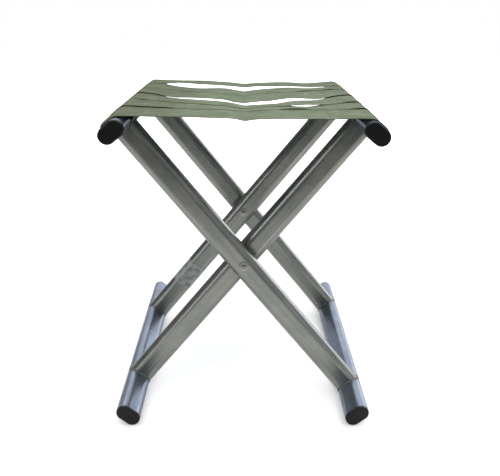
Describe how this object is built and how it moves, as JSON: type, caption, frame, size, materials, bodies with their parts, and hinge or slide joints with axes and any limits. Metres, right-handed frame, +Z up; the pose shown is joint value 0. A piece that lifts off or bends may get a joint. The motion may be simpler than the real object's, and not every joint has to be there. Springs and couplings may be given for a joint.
{
  "type": "folding camp stool",
  "caption": "Folding stool with two crossed flat-oval tube frames on pivot rivets and a seat of side-by-side canvas straps.",
  "frame": {"origin": "on the floor under the middle of the open stool", "axes": "+Z up; +X is the folding direction, towards the inner frame's seat rail; Y runs along the rails, and -Y is the front"},
  "size_m": [0.3028, 0.36, 0.3619],
  "materials": {
    "frame_tube": "satin metallic silver-grey paint over steel tube",
    "frame_weld": "weld metal under the same silver-grey paint",
    "end_plug": "black moulded plastic, slight sheen",
    "rivet": "dull zinc",
    "spacer_washer": "dark nylon",
    "seat_canvas": "plain-woven cotton canvas, sage green",
    "label": "blank silver-grey adhesive film"
  },
  "bodies": {
    "outer_frame": {"outer_seat_rail": "frame_tube", "outer_foot_rail": "frame_tube", "outer_leg_front": "frame_tube", "outer_leg_rear": "frame_tube", "outer_frame_welds": "frame_weld", "outer_foot_plug_front": "end_plug", "outer_foot_plug_rear": "end_plug", "outer_seat_plug_front": "end_plug", "outer_seat_plug_rear": "end_plug", "pivot_rivet_front": "rivet", "pivot_rivet_rear": "rivet", "pivot_washer_front": "spacer_washer", "pivot_washer_rear": "spacer_washer", "seat_strap_1": "seat_canvas", "seat_strap_2": "seat_canvas", "seat_strap_3": "seat_canvas", "seat_strap_4": "seat_canvas", "seat_strap_5": "seat_canvas", "seat_strap_6": "seat_canvas"},
    "inner_frame": {"inner_seat_rail": "frame_tube", "inner_foot_rail": "frame_tube", "inner_leg_front": "frame_tube", "inner_leg_rear": "frame_tube", "inner_frame_welds": "frame_weld", "inner_foot_plug_front": "end_plug", "inner_foot_plug_rear": "end_plug", "inner_seat_plug_front": "end_plug", "inner_seat_plug_rear": "end_plug", "blank_label": "label"}
  },
  "joints": [
    {"name": "fold", "type": "hinge", "parent": "outer_frame", "child": "inner_frame", "pos_m": [0, 0, 0.17966], "axis": [0, -1, 0], "range_deg": [0, 66], "deforming": ["seat_strap_1", "seat_strap_2", "seat_strap_3", "seat_strap_4", "seat_strap_5", "seat_strap_6"]}
  ]
}
